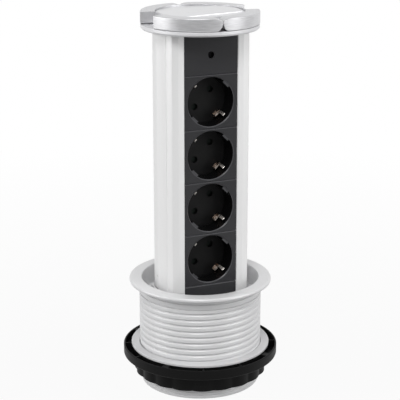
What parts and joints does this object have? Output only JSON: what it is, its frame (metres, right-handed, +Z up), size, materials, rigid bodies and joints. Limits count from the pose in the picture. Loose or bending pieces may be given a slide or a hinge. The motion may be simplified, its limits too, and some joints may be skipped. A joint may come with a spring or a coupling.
{
  "type": "pull-up desk socket tower",
  "caption": "Pull-up desk socket tower: a D-section aluminium column with earthed sockets slides in a threaded sleeve, and a lobed hand nut clamps the sleeve in a desk hole.",
  "frame": {"origin": "On the sleeve's axis, at the sleeve's lower end, which is the centre of the bottom of the bounding box.", "axes": "+Z is up along the sleeve's axis and the column's travel. The sockets face -Y, and +X is to the right of someone who looks at the sockets."},
  "size_m": [0.1282, 0.1282, 0.3093],
  "materials": {
    "anodised_column": "satin anodised",
    "brushed_lid": "finely brushed",
    "grey_sleeve": "satin",
    "pale_washer": "satin",
    "charcoal_plastic": "fine grain",
    "black_panel": "fine grain",
    "shutter_plastic": "smooth",
    "nickel_bronze": "bright rolled strip",
    "contact_brass": "bright",
    "white_insulator": "smooth",
    "zinc_steel": "zinc plated",
    "black_screw": "blackened",
    "seal_rubber": "matte"
  },
  "bodies": {
    "sleeve": {"threaded_sleeve": "grey_sleeve", "guide_ring": "grey_sleeve", "guide_screws": "zinc_steel", "detent_spring": "zinc_steel"},
    "column": {"column_extrusion": "anodised_column", "foot_cap": "charcoal_plastic", "foot_screws": "zinc_steel", "gland_body": "charcoal_plastic", "gland_locknut": "charcoal_plastic", "gland_seal": "seal_rubber", "gland_dome": "charcoal_plastic", "bottom_blank": "black_panel", "top_blank": "black_panel", "blank_screw": "black_screw", "socket_1": "black_panel", "socket_2": "black_panel", "socket_3": "black_panel", "socket_4": "black_panel", "shutter_spring_1": "zinc_steel", "shutter_spring_2": "zinc_steel", "shutter_spring_3": "zinc_steel", "shutter_spring_4": "zinc_steel", "earth_clip_1": "nickel_bronze", "earth_clip_2": "nickel_bronze", "earth_clip_3": "nickel_bronze", "earth_clip_4": "nickel_bronze", "earth_bar": "contact_brass", "line_bar": "contact_brass", "neutral_bar": "contact_brass", "contact_carrier": "white_insulator", "carrier_screws": "zinc_steel", "terminal_block": "white_insulator", "terminal_screws": "zinc_steel", "lid_base": "brushed_lid", "lid_screws": "zinc_steel", "lid_cap": "brushed_lid", "cap_screws": "zinc_steel", "lid_disc": "brushed_lid"},
    "plunger": {"detent_plunger": "contact_brass"},
    "washer": {"clamp_washer": "pale_washer"},
    "nut": {"clamp_nut": "charcoal_plastic"},
    "shutter_1_body": {"shutter_1": "shutter_plastic"},
    "shutter_2_body": {"shutter_2": "shutter_plastic"},
    "shutter_3_body": {"shutter_3": "shutter_plastic"},
    "shutter_4_body": {"shutter_4": "shutter_plastic"}
  },
  "joints": [
    {"name": "column_slide", "type": "slide", "parent": "sleeve", "child": "column", "axis": [0, 0, 1], "range_m": [-0.211, 0]},
    {"name": "plunger_slide", "type": "slide", "parent": "sleeve", "child": "plunger", "axis": [-1, 0, 0], "range_m": [0, 0.0015], "stiffness_N_per_m": 400, "deforming": ["detent_spring"]},
    {"name": "washer_slide", "type": "slide", "parent": "sleeve", "child": "washer", "axis": [0, 0, 1], "range_m": [-0.0061, 0.0441]},
    {"name": "nut_turn", "type": "hinge", "parent": "washer", "child": "nut", "pos_m": [0, 0, 0.02], "axis": [0, 0, 1], "range_deg": [-432, 3168]},
    {"name": "shutter_1_turn", "type": "hinge", "parent": "column", "child": "shutter_1_body", "pos_m": [0, 0, 0.24], "axis": [0, -1, 0], "range_deg": [0, 42], "stiffness_Nm_per_rad": 0.001},
    {"name": "shutter_2_turn", "type": "hinge", "parent": "column", "child": "shutter_2_body", "pos_m": [0, 0, 0.19675], "axis": [0, -1, 0], "range_deg": [0, 42], "stiffness_Nm_per_rad": 0.001},
    {"name": "shutter_3_turn", "type": "hinge", "parent": "column", "child": "shutter_3_body", "pos_m": [0, 0, 0.1535], "axis": [0, -1, 0], "range_deg": [0, 42], "stiffness_Nm_per_rad": 0.001},
    {"name": "shutter_4_turn", "type": "hinge", "parent": "column", "child": "shutter_4_body", "pos_m": [0, 0, 0.11025], "axis": [0, -1, 0], "range_deg": [0, 42], "stiffness_Nm_per_rad": 0.001}
  ],
  "couplings": [
    {"joint": "washer_slide", "follows": "nut_turn", "m_per_rad": 0.00079577}
  ]
}
